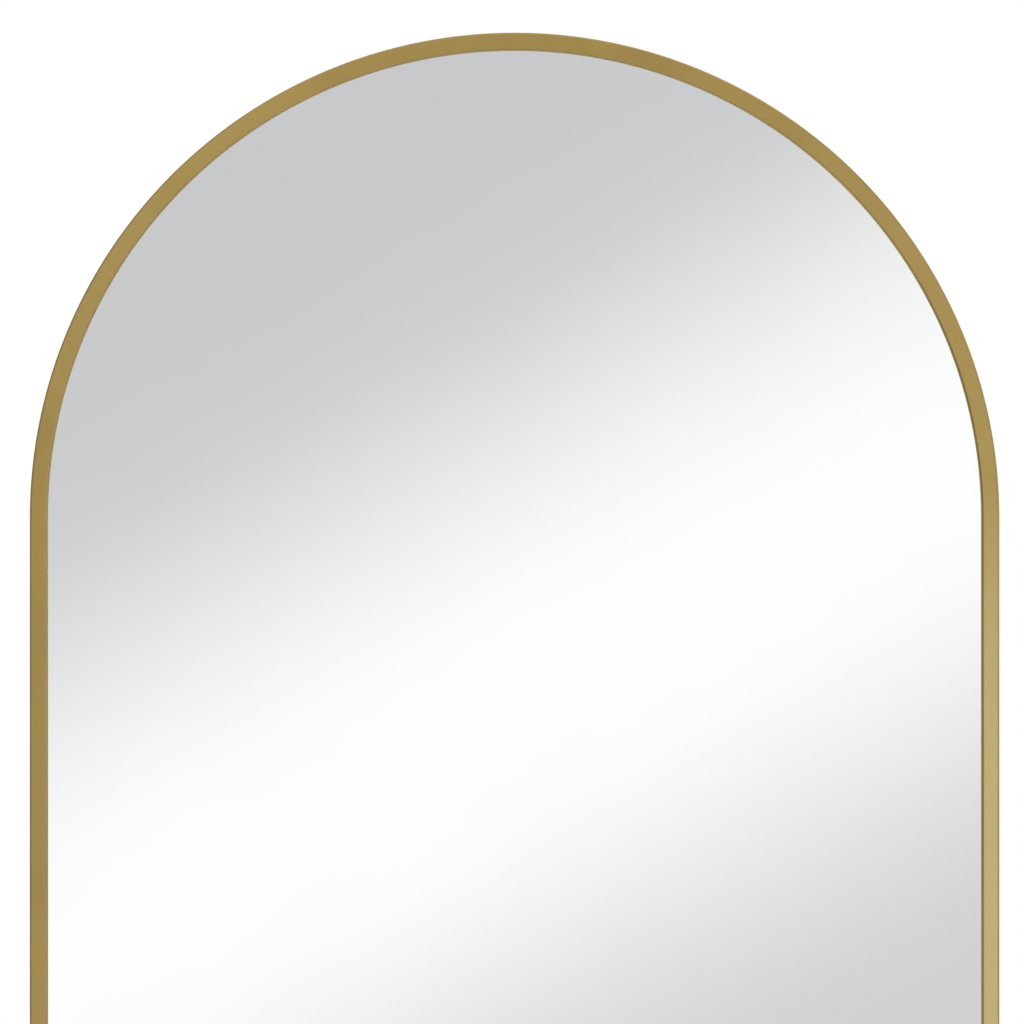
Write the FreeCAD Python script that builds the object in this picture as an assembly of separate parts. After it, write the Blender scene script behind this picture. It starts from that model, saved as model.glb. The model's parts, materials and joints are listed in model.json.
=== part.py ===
import FreeCAD, Part

import math
import os

from FreeCAD import Vector

# Arched wall mirror in a slim gold frame.
#
# The frame is an aluminium extrusion: one length bent into the two legs and the round top,
# and one straight length mitred to it along the bottom. A lip at the front holds the glass.
# A channel at the rear takes the corner keys, the hangers and the wall bumpers.
# The glass, its film, a filler sheet and the back board slide in from below before the
# bottom rail goes on, and bowed springs press them forward against the lip.
#
# X runs to the viewer's right, Y from the viewer to the wall, Z up. Millimetres.
# The origin is on the wall, midway between the two hooks that the rings hang on.

# Outline of the whole mirror
WIDTH = 610.0
HEIGHT = 914.0

# Rail section
FACE_WIDTH = 11.0
LIP = 2.2
WALL = 1.5
RIM_WIDTH = 22.0
SLOT_WIDTH = 8.0
CHANNEL_DEPTH = 6.5
OUTER_EDGE_RADIUS = 1.5
INNER_EDGE_BEVEL = 1.0

# Layers behind the lip, from the front
SEAL_THICKNESS = 0.4
GLASS_THICKNESS = 4.0
FILM_THICKNESS = 0.3
FILLER_THICKNESS = 3.0
BOARD_THICKNESS = 3.0
CLIP_SPACE = 2.6
GLASS_CLEARANCE = 1.0
FILM_MARGIN = 2.0
SEAL_CLEARANCE = 0.5
SEAL_WIDTH = 8.0

# Bowed springs between the back board and the channel
CLIP_LENGTH = 44.0
CLIP_WIDTH = 10.0
CLIP_THICKNESS = 0.5
CLIP_PLAY = 0.05
CLIP_SHOWS = 3.0
LEG_CLIPS = 2
BOTTOM_CLIPS = 3
ARCH_CLIPS = 3
CLIP_END_ROOM = 110.0

# Plates in the channel, and the threads in them
CHANNEL_PLAY = 0.3
PLATE_CUT = 3.0
THREAD_PLAY = 0.1

# Corner keys
KEY_REACH = 64.0
KEY_THICKNESS = 3.0
SHIM_THICKNESS = 1.0
SET_SCREW_RADIUS = 2.5
SET_SCREW_RECESS = 0.4
SET_SCREW_SOCKET = 2.5
SET_SCREW_SOCKET_DEPTH = 2.2
SET_SCREW_MARGIN = 16.0

# Ring hangers on the legs
PIVOT_BELOW_SPRING = 60.0
STRAP_WIDTH = 10.0
STRAP_THICKNESS = 1.2
STRAP_FOLD_GAP = 0.1
STRAP_PINCH_DEGREES = 40.0
STRAP_END_MARGIN = 6.0
STRAP_END_CUT = 2.0
RING_WIRE = 2.5
RING_WIRE_SIDES = 8
RING_PLAY = 0.15
RING_SIDE_PLAY = 0.75
RING_BEND = 2.0
RING_LEG = 6.0
RING_LAY_GAP = 0.3
HANGER_SCREW_DROP = 21.0
HANGER_SCREW_RADIUS = 2.0
HANGER_SCREW_PLAY = 0.2
HANGER_SCREW_PROUD = 0.6
SCREW_HEAD_RADIUS = 3.8
SCREW_HEAD_HEIGHT = 2.2
NUT_LENGTH = 18.0
NUT_THICKNESS = 3.0

# Push-in rubber bumpers on the bottom rail
BUMPER_HEIGHT = 6.0
BUMPER_RADIUS = 7.0
BUMPER_STEM_PLAY = 0.2
BUMPER_CATCH_RADIUS = 5.2
BUMPER_CATCH_LENGTH = 3.5
BUMPER_CATCH_PLAY = 0.3
BUMPER_FROM_END = 96.0

# Depths from the front face of the frame, worked out from the layers
DEPTH_SEAL = LIP
DEPTH_GLASS = DEPTH_SEAL + SEAL_THICKNESS
DEPTH_FILM = DEPTH_GLASS + GLASS_THICKNESS
DEPTH_FILLER = DEPTH_FILM + FILM_THICKNESS
DEPTH_BOARD = DEPTH_FILLER + FILLER_THICKNESS
DEPTH_CLIP = DEPTH_BOARD + BOARD_THICKNESS
DEPTH_WEB = DEPTH_CLIP + CLIP_SPACE
DEPTH_CHANNEL = DEPTH_WEB + WALL
DEPTH_REAR_LIP = DEPTH_CHANNEL + CHANNEL_DEPTH
DEPTH_RIM = DEPTH_REAR_LIP + WALL
DEPTH_WALL = DEPTH_RIM + BUMPER_HEIGHT

# Places of the ring hangers and of the outline
CHANNEL_CENTRE = RIM_WIDTH / 2
GLASS_INSET = WALL + GLASS_CLEARANCE
LOOP_INNER = RING_WIRE / 2 + RING_PLAY
LOOP_MIDDLE = LOOP_INNER + STRAP_THICKNESS / 2
PIVOT_ABOVE_RIM = LOOP_INNER + STRAP_THICKNESS
STRAP_STACK = 2 * STRAP_THICKNESS + STRAP_FOLD_GAP
RING_HALF = STRAP_WIDTH / 2 + RING_SIDE_PLAY + RING_BEND
RING_REACH = RING_LEG + RING_HALF
HOOK_ABOVE_PIVOT = RING_REACH - RING_WIRE / 2
RING_LIFT = STRAP_STACK + RING_LAY_GAP + RING_WIRE / 2 - PIVOT_ABOVE_RIM
RING_TILT_DEGREES = math.degrees(math.asin(RING_LIFT / RING_REACH))
HANGER_X = WIDTH / 2 - CHANNEL_CENTRE
PIVOT_Z = -HOOK_ABOVE_PIVOT
PIVOT_Y = DEPTH_RIM + PIVOT_ABOVE_RIM - DEPTH_WALL
HANGER_SCREW_Z = PIVOT_Z - HANGER_SCREW_DROP
SPRING_Z = PIVOT_Z + PIVOT_BELOW_SPRING
BOTTOM_Z = SPRING_Z - (HEIGHT - WIDTH / 2)
SIDES = {"left": -1, "right": 1}


def rounded_wire(corners):
    """A closed wire through corners, each a point and the radius that rounds it."""
    count = len(corners)
    ends = []
    for i, (point, radius) in enumerate(corners):
        if radius == 0:
            ends.append((point, None, point))
            continue
        back = (corners[i - 1][0] - point).normalize()
        ahead = (corners[(i + 1) % count][0] - point).normalize()
        half = back.getAngle(ahead) / 2
        run = radius / math.tan(half)
        inward = (back + ahead).normalize() * (radius / math.sin(half) - radius)
        ends.append((point + back * run, point + inward, point + ahead * run))
    edges = []
    for i, (start, middle, finish) in enumerate(ends):
        if middle is not None:
            edges.append(Part.Arc(start, middle, finish).toShape())
        edges.append(Part.makeLine(finish, ends[(i + 1) % count][0]))
    return Part.Wire(edges)


def turned(shape, centre, axis, degrees):
    """A copy of shape, turned about an axis through centre."""
    copy = shape.copy()
    copy.rotate(centre, axis, degrees)
    return copy


def mirrored(shape):
    """The same shape on the other side of the mirror's middle."""
    return shape.mirror(Vector(0, 0, 0), Vector(1, 0, 0))


def on_side(shape, side):
    """A shape made for the right side, or its mirror image for the left."""
    return shape if SIDES[side] > 0 else mirrored(shape)


def rod(radius, depth_from, depth_to, x, z):
    """A round bar that runs towards the wall between two depths."""
    start = Vector(x, depth_from - DEPTH_WALL, z)
    return Part.makeCylinder(radius, depth_to - depth_from, start, Vector(0, 1, 0))


def plate(corners, depth, thickness):
    """A flat plate parallel to the wall. Corners are (x, z)."""
    points = [Vector(x, depth - DEPTH_WALL, z) for x, z in corners]
    return Part.Face(Part.makePolygon(points + points[:1])).extrude(Vector(0, thickness, 0))


def cut_rectangle(left, right, low, high, cut):
    """The corners of a rectangle whose own corners are cut off straight."""
    return [
        (left + cut, low),
        (right - cut, low),
        (right, low + cut),
        (right, high - cut),
        (right - cut, high),
        (left + cut, high),
        (left, high - cut),
        (left, low + cut),
    ]


def arched_panel(inset, depth, thickness):
    """A panel of the mirror's outline, drawn in by inset all round."""
    half = WIDTH / 2 - inset
    low = BOTTOM_Z + inset
    y = depth - DEPTH_WALL
    outline = [(-half, SPRING_Z), (-half, low), (half, low), (half, SPRING_Z)]
    corners = [Vector(x, y, z) for x, z in outline]
    edges = [Part.makeLine(a, b) for a, b in zip(corners, corners[1:])]
    top = Vector(0, y, SPRING_Z + half)
    edges.append(Part.Arc(corners[3], top, corners[0]).toShape())
    return Part.Face(Part.Wire(edges)).extrude(Vector(0, thickness, 0))


def rail_face(place):
    """The rail's section. place turns (distance from the outer side, depth) into a point."""
    slot_near = CHANNEL_CENTRE - SLOT_WIDTH / 2
    slot_far = CHANNEL_CENTRE + SLOT_WIDTH / 2
    outline = [
        (0, 0, OUTER_EDGE_RADIUS),
        (FACE_WIDTH - INNER_EDGE_BEVEL, 0, 0),
        (FACE_WIDTH, INNER_EDGE_BEVEL, 0),
        (FACE_WIDTH, LIP, 0),
        (WALL, LIP, 0),
        (WALL, DEPTH_WEB, 0),
        (RIM_WIDTH, DEPTH_WEB, 0),
        (RIM_WIDTH, DEPTH_RIM, 0),
        (slot_far, DEPTH_RIM, 0),
        (slot_far, DEPTH_REAR_LIP, 0),
        (RIM_WIDTH - WALL, DEPTH_REAR_LIP, 0),
        (RIM_WIDTH - WALL, DEPTH_CHANNEL, 0),
        (WALL, DEPTH_CHANNEL, 0),
        (WALL, DEPTH_REAR_LIP, 0),
        (slot_near, DEPTH_REAR_LIP, 0),
        (slot_near, DEPTH_RIM, 0),
        (0, DEPTH_RIM, 0),
    ]
    return Part.Face(rounded_wire([(place(across, depth), radius) for across, depth, radius in outline]))


def mitre_wedge(below):
    """The corner block on the right, below or above the 45 degree mitre plane."""
    reach = 2 * RIM_WIDTH
    outer, inner = WIDTH / 2, WIDTH / 2 - reach
    low, high = BOTTOM_Z, BOTTOM_Z + reach
    third = (inner, low) if below else (outer, high)
    points = [Vector(x, -DEPTH_WALL, z) for x, z in ((outer, low), (inner, high), third, (outer, low))]
    return Part.Face(Part.makePolygon(points)).extrude(Vector(0, DEPTH_WALL, 0))


def arch_rail():
    """Two legs and the half-round top, bent from one length, with mitred feet."""
    section = rail_face(lambda across, depth: Vector(WIDTH / 2 - across, depth - DEPTH_WALL, SPRING_Z))
    leg = section.extrude(Vector(0, 0, BOTTOM_Z - SPRING_Z)).cut(mitre_wedge(below=True))
    top = section.revolve(Vector(0, 0, SPRING_Z), Vector(0, -1, 0), 180)
    return leg.fuse([top, mirrored(leg)]).removeSplitter()


def bottom_rail():
    """The straight length along the bottom, mitred at both ends."""
    section = rail_face(lambda across, depth: Vector(-WIDTH / 2, depth - DEPTH_WALL, BOTTOM_Z + across))
    wedge = mitre_wedge(below=False)
    return section.extrude(Vector(WIDTH, 0, 0)).cut([wedge, mirrored(wedge)])


def glazing_seal():
    """A thin cushion strip between the lip and the glass."""
    outer = WALL + SEAL_CLEARANCE
    ring = arched_panel(outer, DEPTH_SEAL, SEAL_THICKNESS)
    return ring.cut(arched_panel(outer + SEAL_WIDTH, DEPTH_SEAL, SEAL_THICKNESS))


def spring_clip():
    """A bowed strip lying across X at the origin: its middle forward, its ends back."""
    rise = CLIP_SPACE - CLIP_THICKNESS - 2 * CLIP_PLAY
    half = CLIP_LENGTH / 2
    radius = (half * half + rise * rise) / (2 * rise)
    lean = math.asin(half / radius)
    front = DEPTH_CLIP + CLIP_PLAY - DEPTH_WALL
    middle = front + radius

    def bow(bend):
        ends = [Vector(s * bend * math.sin(lean), middle - bend * math.cos(lean), 0) for s in (-1, 1)]
        return ends[0], Vector(0, middle - bend, 0), ends[1]

    inner, outer = bow(radius - CLIP_THICKNESS), bow(radius)
    edges = [
        Part.Arc(*outer).toShape(),
        Part.makeLine(outer[2], inner[2]),
        Part.Arc(*reversed(inner)).toShape(),
        Part.makeLine(inner[0], outer[0]),
    ]
    strip = Part.Face(Part.Wire(edges)).extrude(Vector(0, 0, CLIP_WIDTH))
    return strip.translated(Vector(0, 0, -CLIP_WIDTH / 2))


def evenly(start, finish, count):
    """count places spread from start to finish, or the middle for one."""
    if count == 1:
        return [(start + finish) / 2]
    return [start + (finish - start) * i / (count - 1) for i in range(count)]


def spring_clips():
    """Every clip in its place round the frame, by name."""
    clip = spring_clip()
    across = RIM_WIDTH + CLIP_SHOWS - CLIP_WIDTH / 2
    reach = WIDTH / 2 - across
    up, towards_wall = Vector(0, 0, 1), Vector(0, 1, 0)
    upright = turned(clip, Vector(0, 0, 0), towards_wall, 90)
    places = {}
    for i, z in enumerate(evenly(BOTTOM_Z + CLIP_END_ROOM, SPRING_Z - CLIP_END_ROOM, LEG_CLIPS)):
        for side, sign in SIDES.items():
            places[f"spring_clip_{side}_{i + 1}"] = upright.translated(Vector(sign * reach, 0, z))
    for i, x in enumerate(evenly(CLIP_END_ROOM - WIDTH / 2, WIDTH / 2 - CLIP_END_ROOM, BOTTOM_CLIPS)):
        places[f"spring_clip_bottom_{i + 1}"] = clip.translated(Vector(x, 0, BOTTOM_Z + across))
    for i in range(ARCH_CLIPS):
        turn = 180 * (i + 1) / (ARCH_CLIPS + 1) - 90
        top = clip.translated(up * (SPRING_Z + reach))
        places[f"spring_clip_top_{i + 1}"] = turned(top, up * SPRING_Z, towards_wall, turn)
    return places


def key_outline():
    """The right corner key's outline: two arms in the two channels."""
    near = WALL + CHANNEL_PLAY
    far = RIM_WIDTH - near
    arm = [
        (KEY_REACH - PLATE_CUT, near),
        (KEY_REACH, near + PLATE_CUT),
        (KEY_REACH, far - PLATE_CUT),
        (KEY_REACH - PLATE_CUT, far),
    ]
    other_arm = [(b, a) for a, b in reversed(arm)]
    angle = [(near, near)] + arm + [(far, far)] + other_arm
    return [(WIDTH / 2 - a, BOTTOM_Z + b) for a, b in angle]


def set_screw_places():
    """The right corner's two screws, as (x, z): one on each arm."""
    along = KEY_REACH - SET_SCREW_MARGIN
    on_bottom = (WIDTH / 2 - along, BOTTOM_Z + CHANNEL_CENTRE)
    on_leg = (WIDTH / 2 - CHANNEL_CENTRE, BOTTOM_Z + along)
    return [on_bottom, on_leg]


def corner_key():
    """The threaded angle that the set screws lift against the rear lips."""
    key = plate(key_outline(), DEPTH_REAR_LIP - KEY_THICKNESS, KEY_THICKNESS)
    hole = SET_SCREW_RADIUS + THREAD_PLAY
    return key.cut([rod(hole, DEPTH_CHANNEL, DEPTH_RIM, x, z) for x, z in set_screw_places()])


def corner_shim():
    """The plain angle on the channel floor that the set screws press on."""
    return plate(key_outline(), DEPTH_CHANNEL, SHIM_THICKNESS)


def hexagon_bar(across_flats, depth_from, depth_to, x, z):
    """A six-sided bar that runs towards the wall between two depths."""
    corner = across_flats / math.sqrt(3)
    turns = [math.radians(60 * i) for i in range(6)]
    corners = [(x + corner * math.cos(t), z + corner * math.sin(t)) for t in turns]
    return plate(corners, depth_from, depth_to - depth_from)


def set_screw(x, z):
    """A headless screw with a hexagon socket."""
    end = DEPTH_REAR_LIP - SET_SCREW_RECESS
    screw = rod(SET_SCREW_RADIUS, DEPTH_CHANNEL + SHIM_THICKNESS, end, x, z)
    return screw.cut(hexagon_bar(SET_SCREW_SOCKET, end - SET_SCREW_SOCKET_DEPTH, end, x, z))


def strap_line():
    """The middle line of the strap, from its rear end round the ring to its other end."""
    pinch = math.radians(STRAP_PINCH_DEGREES)
    low = DEPTH_RIM + STRAP_THICKNESS / 2 - DEPTH_WALL
    high = low + STRAP_THICKNESS + STRAP_FOLD_GAP
    end = HANGER_SCREW_Z - STRAP_END_MARGIN
    drop = 2 * LOOP_MIDDLE - (high - low)
    slope = (drop - 2 * LOOP_MIDDLE * (1 - math.cos(pinch))) / math.sin(pinch)

    def round_ring(turn):
        y = PIVOT_Y - LOOP_MIDDLE * math.cos(turn)
        return Vector(HANGER_X, y, PIVOT_Z + LOOP_MIDDLE * math.sin(turn))

    leaves = round_ring(math.pi + pinch)
    lands = leaves + Vector(0, -math.sin(pinch), -math.cos(pinch)) * slope
    flat = lands + Vector(0, high - lands.y, -LOOP_MIDDLE * math.sin(pinch))
    centre = flat + Vector(0, LOOP_MIDDLE, 0)
    half = centre + Vector(0, -math.cos(pinch / 2), math.sin(pinch / 2)) * LOOP_MIDDLE
    edges = [
        Part.makeLine(Vector(HANGER_X, low, end), round_ring(0)),
        Part.Arc(round_ring(0), round_ring((math.pi + pinch) / 2), leaves).toShape(),
        Part.makeLine(leaves, lands),
        Part.Arc(lands, half, flat).toShape(),
        Part.makeLine(flat, Vector(HANGER_X, high, end)),
    ]
    return Part.Wire(edges)


def hanger_strap():
    """A steel strap folded round the ring's bar, both ends under the same screw."""
    line = strap_line()
    start = line.Vertexes[0].Point
    half = STRAP_WIDTH / 2
    left, right = HANGER_X - half, HANGER_X + half
    front, rear = start.y - STRAP_THICKNESS / 2, start.y + STRAP_THICKNESS / 2
    across = (left, right, right, left)
    through = (front, front, rear, rear)
    corners = [Vector(x, y, start.z) for x, y in zip(across, through)]
    section = Part.makePolygon(corners + corners[:1])
    strap = line.makePipeShell([section], True, False)
    outline = cut_rectangle(left, right, start.z, PIVOT_Z + STRAP_WIDTH, STRAP_END_CUT)
    strap = strap.common(plate(outline, DEPTH_CHANNEL, 2 * (DEPTH_WALL - DEPTH_CHANNEL)))
    hole = HANGER_SCREW_RADIUS + HANGER_SCREW_PLAY
    return strap.cut(rod(hole, DEPTH_CHANNEL, DEPTH_WALL, HANGER_X, HANGER_SCREW_Z))


def d_ring():
    """A wire bent to a D, drawn with a few flat sides, hanging from its bar against the strap."""
    half, bend = RING_HALF, RING_BEND
    side = half - bend
    slack = bend * math.sqrt(0.5)

    def point(x, down):
        return Vector(HANGER_X + x, PIVOT_Y, PIVOT_Z - down)

    def corner(sign):
        return point(sign * (side + slack), bend - slack)

    edges = [
        Part.makeLine(point(-side, 0), point(side, 0)),
        Part.Arc(point(side, 0), corner(1), point(half, bend)).toShape(),
        Part.makeLine(point(half, bend), point(half, RING_LEG)),
        Part.Arc(point(half, RING_LEG), point(0, RING_REACH), point(-half, RING_LEG)).toShape(),
        Part.makeLine(point(-half, RING_LEG), point(-half, bend)),
        Part.Arc(point(-half, bend), corner(-1), point(-side, 0)).toShape(),
    ]
    turns = [math.radians(360 * (i + 0.5) / RING_WIRE_SIDES) for i in range(RING_WIRE_SIDES)]
    around = [Vector(0, math.cos(turn), math.sin(turn)) * (RING_WIRE / 2) for turn in turns]
    wire_end = Part.makePolygon([point(-side, 0) + spoke for spoke in around + around[:1]])
    ring = Part.Wire(edges).makePipeShell([wire_end], True, False)
    return turned(ring, point(0, 0), Vector(1, 0, 0), RING_TILT_DEGREES)


def hanger_nut():
    """A threaded plate in the channel that the strap's screw pulls against the rear lips."""
    half = CHANNEL_CENTRE - WALL - CHANNEL_PLAY
    low, high = HANGER_SCREW_Z - NUT_LENGTH / 2, HANGER_SCREW_Z + NUT_LENGTH / 2
    outline = cut_rectangle(HANGER_X - half, HANGER_X + half, low, high, PLATE_CUT)
    nut = plate(outline, DEPTH_REAR_LIP - NUT_THICKNESS, NUT_THICKNESS)
    hole = HANGER_SCREW_RADIUS + THREAD_PLAY
    return nut.cut(rod(hole, DEPTH_CHANNEL, DEPTH_RIM, HANGER_X, HANGER_SCREW_Z))


def turned_piece(outline, x, z):
    """A round piece about a line towards the wall. Its half section is (radius, depth)."""
    corners = [Vector(x + radius, depth - DEPTH_WALL, z) for radius, depth in outline]
    half_section = Part.Face(Part.makePolygon(corners + corners[:1]))
    return half_section.revolve(Vector(x, 0, z), Vector(0, 1, 0), 360)


def hanger_screw():
    """A pan-head screw through the strap into the nut."""
    under_head = DEPTH_RIM + STRAP_STACK
    tip = DEPTH_REAR_LIP - NUT_THICKNESS - HANGER_SCREW_PROUD
    top = under_head + SCREW_HEAD_HEIGHT
    outline = [
        (0, tip),
        (HANGER_SCREW_RADIUS, tip),
        (HANGER_SCREW_RADIUS, under_head),
        (SCREW_HEAD_RADIUS, under_head),
        (SCREW_HEAD_RADIUS, top),
        (0, top),
    ]
    return turned_piece(outline, HANGER_X, HANGER_SCREW_Z)


def wall_bumper():
    """A rubber pad whose headed stem is pushed through the slot of the bottom rail."""
    stem = SLOT_WIDTH / 2 - BUMPER_STEM_PLAY
    catch_end = DEPTH_REAR_LIP - BUMPER_CATCH_PLAY
    catch_start = catch_end - BUMPER_CATCH_LENGTH
    outline = [
        (0, catch_start),
        (BUMPER_CATCH_RADIUS, catch_start),
        (BUMPER_CATCH_RADIUS, catch_end),
        (stem, catch_end),
        (stem, DEPTH_RIM),
        (BUMPER_RADIUS, DEPTH_RIM),
        (BUMPER_RADIUS, DEPTH_WALL),
        (0, DEPTH_WALL),
    ]
    x = WIDTH / 2 - BUMPER_FROM_END
    z = BOTTOM_Z + CHANNEL_CENTRE
    return turned_piece(outline, x, z)


def build():
    """Every piece of the mirror, by name."""
    pieces = {
        "arch_rail": arch_rail(),
        "bottom_rail": bottom_rail(),
        "glazing_seal": glazing_seal(),
        "mirror_glass": arched_panel(GLASS_INSET, DEPTH_GLASS, GLASS_THICKNESS),
        "safety_film": arched_panel(GLASS_INSET + FILM_MARGIN, DEPTH_FILM, FILM_THICKNESS),
        "filler_sheet": arched_panel(GLASS_INSET + FILM_MARGIN, DEPTH_FILLER, FILLER_THICKNESS),
        "back_board": arched_panel(GLASS_INSET, DEPTH_BOARD, BOARD_THICKNESS),
        **spring_clips(),
    }
    groups = {
        "corner_set_screws": [set_screw(x, z) for x, z in set_screw_places()],
        "hanger_screws": [hanger_screw()],
        "wall_bumpers": [wall_bumper()],
    }
    for name, shapes in groups.items():
        pieces[name] = Part.makeCompound([on_side(shape, side) for side in SIDES for shape in shapes])
    sided = {
        "corner_key": corner_key(),
        "corner_shim": corner_shim(),
        "hanger_nut": hanger_nut(),
        "hanger_strap": hanger_strap(),
        "d_ring": d_ring(),
    }
    for name, shape in sided.items():
        for side in SIDES:
            pieces[f"{name}_{side}"] = on_side(shape, side)
    return pieces


def main():
    """Writes each piece to its own file and prints the sizes that follow from the dimensions."""
    os.makedirs("parts", exist_ok=True)
    for name, shape in build().items():
        if not shape.isValid():
            raise ValueError(f"{name} is not a valid shape")
        shape.exportStep(f"parts/{name}.step")
    print(f"rail depth {DEPTH_RIM:.2f}, depth to the wall {DEPTH_WALL:.2f}")
    print(f"bottom {BOTTOM_Z:.2f}, spring line {SPRING_Z:.2f}, top {SPRING_Z + WIDTH / 2:.2f}")
    print(f"ring pivot x {HANGER_X:.2f}, y {PIVOT_Y:.2f}, z {PIVOT_Z:.2f}")
    print(f"ring tilt {RING_TILT_DEGREES:.2f} degrees")


main()
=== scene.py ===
import json
import math

import bmesh
import bpy
from mathutils import Matrix, Vector


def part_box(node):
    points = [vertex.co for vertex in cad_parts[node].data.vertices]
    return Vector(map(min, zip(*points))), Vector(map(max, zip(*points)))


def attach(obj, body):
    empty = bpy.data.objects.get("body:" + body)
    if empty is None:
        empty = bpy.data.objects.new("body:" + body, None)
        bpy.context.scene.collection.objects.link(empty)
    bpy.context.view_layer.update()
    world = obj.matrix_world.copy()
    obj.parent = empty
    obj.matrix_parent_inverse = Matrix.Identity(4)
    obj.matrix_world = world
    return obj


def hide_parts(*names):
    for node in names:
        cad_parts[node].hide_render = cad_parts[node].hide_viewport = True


# Arched wall mirror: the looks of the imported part.
# Metres, X to the viewer's right, Y from the viewer to the wall, Z up.

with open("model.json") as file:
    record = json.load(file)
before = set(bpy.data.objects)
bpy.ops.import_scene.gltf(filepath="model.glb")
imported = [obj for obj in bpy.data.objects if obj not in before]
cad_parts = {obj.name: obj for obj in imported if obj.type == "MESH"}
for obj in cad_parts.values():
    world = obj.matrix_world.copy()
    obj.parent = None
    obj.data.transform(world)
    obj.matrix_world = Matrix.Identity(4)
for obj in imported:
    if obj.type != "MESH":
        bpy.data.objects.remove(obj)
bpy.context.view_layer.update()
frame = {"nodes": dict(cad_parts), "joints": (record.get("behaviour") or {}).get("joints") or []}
scene = bpy.context.scene
MM = 0.001

# Points nearer than the first are merged, and points that differ by less than the second are level
MERGE = 0.001 * MM
LEVEL = 0.01 * MM

# Edges flatter than the first are shaded smooth, and edges sharper than the second are eased
SMOOTH_BELOW = math.radians(38)
EASE_ABOVE = math.radians(40)
EASE_STEPS = 2

# Turns that set a flat shape upright, and that face a lamp or camera from the viewer to the wall
UPRIGHT = Matrix.Rotation(math.pi / 2, 4, "X")
FACING_WALL = (math.pi / 2, 0, 0)

# Outline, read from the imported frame
RAIL_LOW, RAIL_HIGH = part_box("arch_rail")
HALF_WIDTH = RAIL_HIGH.x
FRONT = RAIL_LOW.y
RIM = RAIL_HIGH.y
SPRING = RAIL_HIGH.z - HALF_WIDTH
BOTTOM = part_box("bottom_rail")[0].z
SIDES = {"left": -1, "right": 1}

# Rail section in millimetres: distance in from the outer side, depth from the front, corner radius
RAIL_SECTION = [
    (0, 0, 1.5),
    (11, 0, 1.2),
    (11, 2.2, 0.2),
    (1.5, 2.2, 0),
    (1.5, 15.5, 0),
    (22, 15.5, 0.3),
    (22, 25, 0.6),
    (15, 25, 0.3),
    (15, 23.5, 0.2),
    (20.5, 23.5, 0),
    (20.5, 17, 0),
    (1.5, 17, 0),
    (1.5, 23.5, 0),
    (7, 23.5, 0.2),
    (7, 25, 0.3),
    (0, 25, 0.6),
]
ROUND_STEPS = 4
ARCH_STEPS = 144
MITRE_EASE = 0.12 * MM

# Sheets behind the lip: a rim is an edge sharper than RIM_ABOVE, and a flat face's normal passes FLAT_FROM
GLASS_ARRIS = 0.4 * MM
BOARD_EASE = 0.25 * MM
RIM_STEPS = 2
RIM_ABOVE = math.radians(60)
FLAT_FROM = 0.9

# Bowed springs
CLIP_LENGTH = 44 * MM
CLIP_WIDTH = 10 * MM
CLIP_THICKNESS = 0.5 * MM
CLIP_RISE = 2 * MM
CLIP_CORNER = 2 * MM
CLIP_CORNER_STEPS = 4
CLIP_EASE = 0.08 * MM
CLIP_STEPS = 20
CLIP_TURNS = {"left": 90, "right": 90, "bottom": 0, "top_1": -45, "top_2": 0, "top_3": 45}

# Ring hangers
STRAP_THICKNESS = 1.2 * MM
STRAP_FOLD_GAP = 0.1 * MM
STRAP_PINCH = math.radians(40)
STRAP_CORNER = 2 * MM
STRAP_CORNER_STEPS = 5
STRAP_EASE = 0.2 * MM
STRAP_HOLE = 2.2 * MM
LOOP_MIDDLE = 2 * MM
LOOP_STEPS = 20
HEEL_STEPS = 6
WIRE_RADIUS = 1.25 * MM
WIRE_SIDES = 20
RING_SIDE = 5.75 * MM
RING_BEND = 2 * MM
RING_BEND_STEPS = 8
RING_LEG = 6 * MM
RING_ROUND_STEPS = 32
RING_TILT = math.radians(6.05)

# Screws and bumpers, as half sections in millimetres: radius, height above the seat
PAN_HEAD = [(0, 2.2), (1.6, 2.1), (2.7, 1.8), (3.45, 1.25), (3.75, 0.6), (3.8, 0.25), (3.6, 0), (2, 0)]
SHANK_RADIUS = 2
SHANK_POINT = 0.6
TURN_STEPS = 40
BUMPER_PAD = [
    (0, 5.75), (4.6, 5.75), (5.2, 5.98), (5.9, 6), (6.5, 5.8), (6.85, 5.3), (7, 4.4), (7, 0.5), (6.8, 0.1),
]
BUMPER_STEM = [(6.5, 0), (3.8, 0), (3.8, -1.8), (5.2, -1.8), (5.2, -3.6), (4.3, -5.3), (0, -5.3)]

# Cross recess of a screw: half a slot's width, its reach and depth, its floor's share of the opening,
# and how deep the head's crown is where the slots cut it
RECESS_HALF = 0.42 * MM
RECESS_REACH = 1.7 * MM
RECESS_DEPTH = 1.3 * MM
RECESS_FLOOR = 0.6
CROWN_DEPTH = 0.6 * MM

# Camera: straight on, level with the spring line, as wide as the picture at the frame's face
PICTURE_WIDTH = 643.6 * MM
CAMERA_DISTANCE = 1400 * MM
CAMERA_X = -1.64 * MM
CAMERA_Z = SPRING + 3.4 * MM
SENSOR = 36

# The soft band that the glass shows: place across the studio, brightness
SHEEN_AXIS = Vector((0.57, 0, -1)).normalized()
SHEEN_LEVELS = [
    (-1.0, 0.85),
    (-0.5, 1.05),
    (-0.34, 1.05),
    (-0.25, 0.605),
    (-0.18, 0.612),
    (-0.10, 0.634),
    (-0.060, 0.725),
    (-0.006, 0.94),
    (0.045, 1.05),
    (0.117, 1.045),
    (0.163, 0.93),
    (0.210, 0.78),
    (0.265, 0.645),
    (0.36, 0.70),
    (0.6, 0.70),
    (1.0, 0.70),
]
SHEEN_PEAK = max(level for place, level in SHEEN_LEVELS)
SHADE_BELOW = 0.66
SHADE_TINT = (0.994, 1.0, 1.02)

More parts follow.
